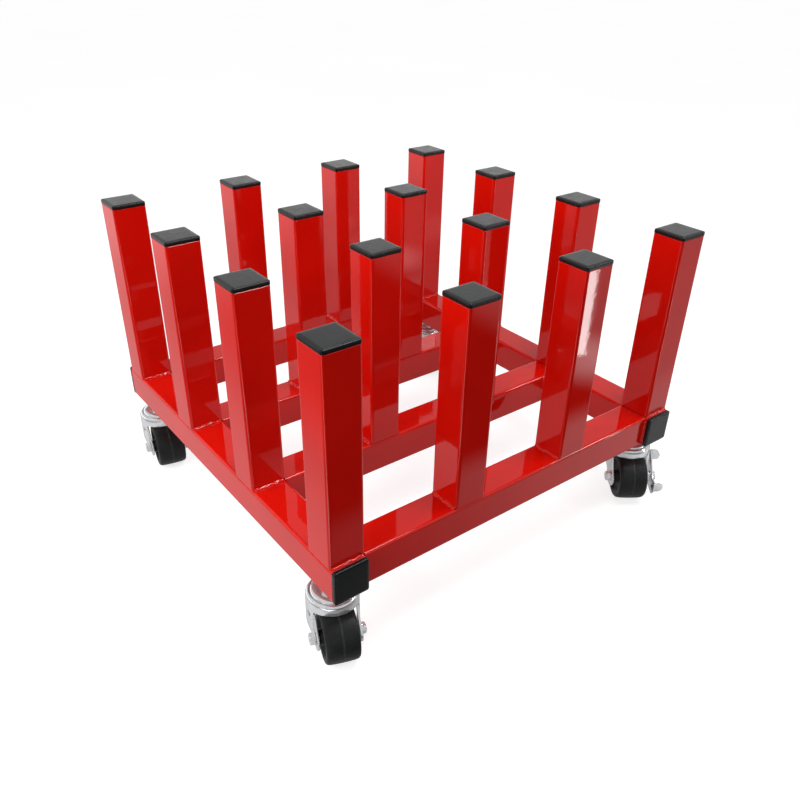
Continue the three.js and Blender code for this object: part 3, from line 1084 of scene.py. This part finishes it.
def build_floor():
    """A wide pale floor and four far walls, which only the camera and the lamps see."""
    material, tree, shader = new_material("pale_floor")
    tone = remap(tree, noise_node(tree, 900, 2), 0, 1)
    base = blend_colours(tree, tone, (0.42, 0.42, 0.42), (0.44, 0.44, 0.44))
    tree.links.new(base, shader.inputs["Base Color"])
    shader.inputs["Roughness"].default_value = 1.0
    shader.inputs["Specular IOR Level"].default_value = 0.0
    shader.inputs["Emission Color"].default_value = (1, 1, 1, 1)
    shader.inputs["Emission Strength"].default_value = FLOOR_GLOW
    r = ROOM
    cards = [flat_card("floor", [(-r, -r, 0), (r, -r, 0), (r, r, 0), (-r, r, 0)], material)]
    for name, start, end in (
        ("left", (-r, -r), (-r, r)),
        ("back", (-r, r), (r, r)),
        ("right", (r, r), (r, -r)),
        ("front", (r, -r), (-r, -r)),
    ):
        wall = flat_card(f"far_wall_{name}", [(*start, 0), (*end, 0), (*end, r), (*start, r)], material)
        wall.visible_shadow = False
        cards.append(wall)
    for card in cards:
        card.visible_diffuse = False
        card.visible_glossy = False


def build_bounce():
    """The light that comes up from the floor: pale beside and behind the rack, dark in front of it,
    with one bright lamp low to the front right. Only the rack sees it."""
    material = bpy.data.materials.new("floor_bounce")
    material.use_nodes = True
    tree = material.node_tree
    tree.nodes.clear()
    place = tree.nodes.new("ShaderNodeTexCoord")
    split = tree.nodes.new("ShaderNodeSeparateXYZ")
    tree.links.new(place.outputs["Object"], split.inputs[0])
    x, y = split.outputs[0], split.outputs[1]
    # Beside the rack on the left it brightens to the back, and under the rack it is fairly even.
    far_left = between(tree, y, 0.40, 1.70, 0.16, 0.95)
    inside = between(tree, x, -0.40, -0.25, 0.64, 0.42)
    pale = mix_values(tree, between(tree, x, -0.42, -0.72), inside, far_left)
    # Just in front of the front row it brightens to the right.
    near = between(tree, x, -0.25, 0.45, 0.18, 0.72)
    pale = mix_values(tree, between(tree, y, -0.30, -0.42), pale, near)
    # Further out it is dark, except on the far right.
    dark = between(tree, x, 0.50, 0.66, 0.02, 0.5)
    radiance = mix_values(tree, between(tree, y, -0.50, -0.57), pale, dark)
    distance = tree.nodes.new("ShaderNodeVectorMath")
    distance.operation = "DISTANCE"
    tree.links.new(place.outputs["Object"], distance.inputs[0])
    distance.inputs[1].default_value = STRIP_PLACE
    lamp = between(tree, distance.outputs["Value"], 0.17, 0.03, 0.0, 1.3)
    radiance = maths(tree, "ADD", radiance, lamp)
    glow = tree.nodes.new("ShaderNodeEmission")
    tree.links.new(radiance, glow.inputs["Strength"])
    surface = tree.nodes.new("ShaderNodeOutputMaterial")
    tree.links.new(glow.outputs[0], surface.inputs["Surface"])
    low = -0.002
    corners = [(-30, -30, low), (30, -30, low), (30, 30, low), (-30, 30, low)]
    card = flat_card("floor_bounce", corners, material)
    card.visible_camera = False
    card.visible_shadow = False


def glow_card(name, corners, strength):
    """An even light card that is seen only in the gloss."""
    material = bpy.data.materials.new(name)
    material.use_nodes = True
    tree = material.node_tree
    tree.nodes.clear()
    glow = tree.nodes.new("ShaderNodeEmission")
    glow.inputs["Strength"].default_value = strength
    surface = tree.nodes.new("ShaderNodeOutputMaterial")
    tree.links.new(glow.outputs[0], surface.inputs["Surface"])
    card = flat_card(name, corners, material)
    card.visible_camera = False
    card.visible_diffuse = False
    card.visible_shadow = False


def build_glow_cards():
    """A slim upright lamp to the front right, and a low reflector to the left of the front corner."""
    middle_x, middle_y, _ = STRIP_PLACE
    half_x, half_y = STRIP_HALF
    left, right = (middle_x - half_x, middle_y - half_y), (middle_x + half_x, middle_y + half_y)
    corners = [(*left, 0.0), (*right, 0.0), (*right, STRIP_HEIGHT), (*left, STRIP_HEIGHT)]
    glow_card("strip_lamp", corners, STRIP_STRENGTH)
    west, east, south, north = REFLECTOR
    corners = [(west, south, 0.001), (east, south, 0.001), (east, north, 0.001), (west, north, 0.001)]
    glow_card("low_reflector", corners, REFLECTOR_STRENGTH)


def softbox(name, place, target, size, power, in_gloss):
    """A rectangular area lamp aimed at a point."""
    lamp = bpy.data.lights.new(name, "AREA")
    lamp.shape = "RECTANGLE"
    lamp.size, lamp.size_y = size
    lamp.energy = power
    obj = bpy.data.objects.new(name, lamp)
    bpy.context.scene.collection.objects.link(obj)
    aim = Vector(target) - Vector(place)
    obj.matrix_world = Matrix.Translation(place) @ aim.to_track_quat("-Z", "Y").to_matrix().to_4x4()
    obj.visible_glossy = in_gloss


def build_light():
    """A pale sky, brighter low behind the rack, and the lamps."""
    world = bpy.data.worlds.new("studio")
    world.use_nodes = True
    tree = world.node_tree
    place = tree.nodes.new("ShaderNodeTexCoord")
    split = tree.nodes.new("ShaderNodeSeparateXYZ")
    tree.links.new(place.outputs["Generated"], split.inputs[0])
    low = between(tree, split.outputs[2], 0.42, 0.16)
    behind = between(tree, split.outputs[1], 0.1, 0.7)
    brighter = maths(tree, "MULTIPLY", maths(tree, "MULTIPLY", low, behind), SKY_GLOW)
    background = tree.nodes["Background"]
    background.inputs["Color"].default_value = (1, 1, 1, 1)
    tree.links.new(maths(tree, "ADD", brighter, SKY), background.inputs["Strength"])
    bpy.context.scene.world = world
    for lamp in LAMPS:
        softbox(*lamp)


def build_camera():
    """The camera at the height and angle of a standing view of the rack's front left corner."""
    lens = bpy.data.cameras.new("camera")
    lens.lens = CAMERA_LENS
    lens.sensor_width = 36
    lens.shift_y = CAMERA_SHIFT
    lens.clip_end = 100
    obj = bpy.data.objects.new("camera", lens)
    bpy.context.scene.collection.objects.link(obj)
    heading = Matrix.Rotation(math.radians(-CAMERA_HEADING), 4, "Z")
    dip = Matrix.Rotation(math.radians(90 - CAMERA_DIP), 4, "X")
    roll = Matrix.Rotation(math.radians(CAMERA_ROLL), 4, "Z")
    obj.matrix_world = Matrix.Translation(CAMERA_PLACE) @ heading @ dip @ roll
    bpy.context.scene.camera = obj


build_tubes()
build_plugs()
build_welds()
build_casters()
build_floor()
build_bounce()
build_glow_cards()
build_light()
build_camera()
bpy.context.scene.view_settings.view_transform = "Standard"
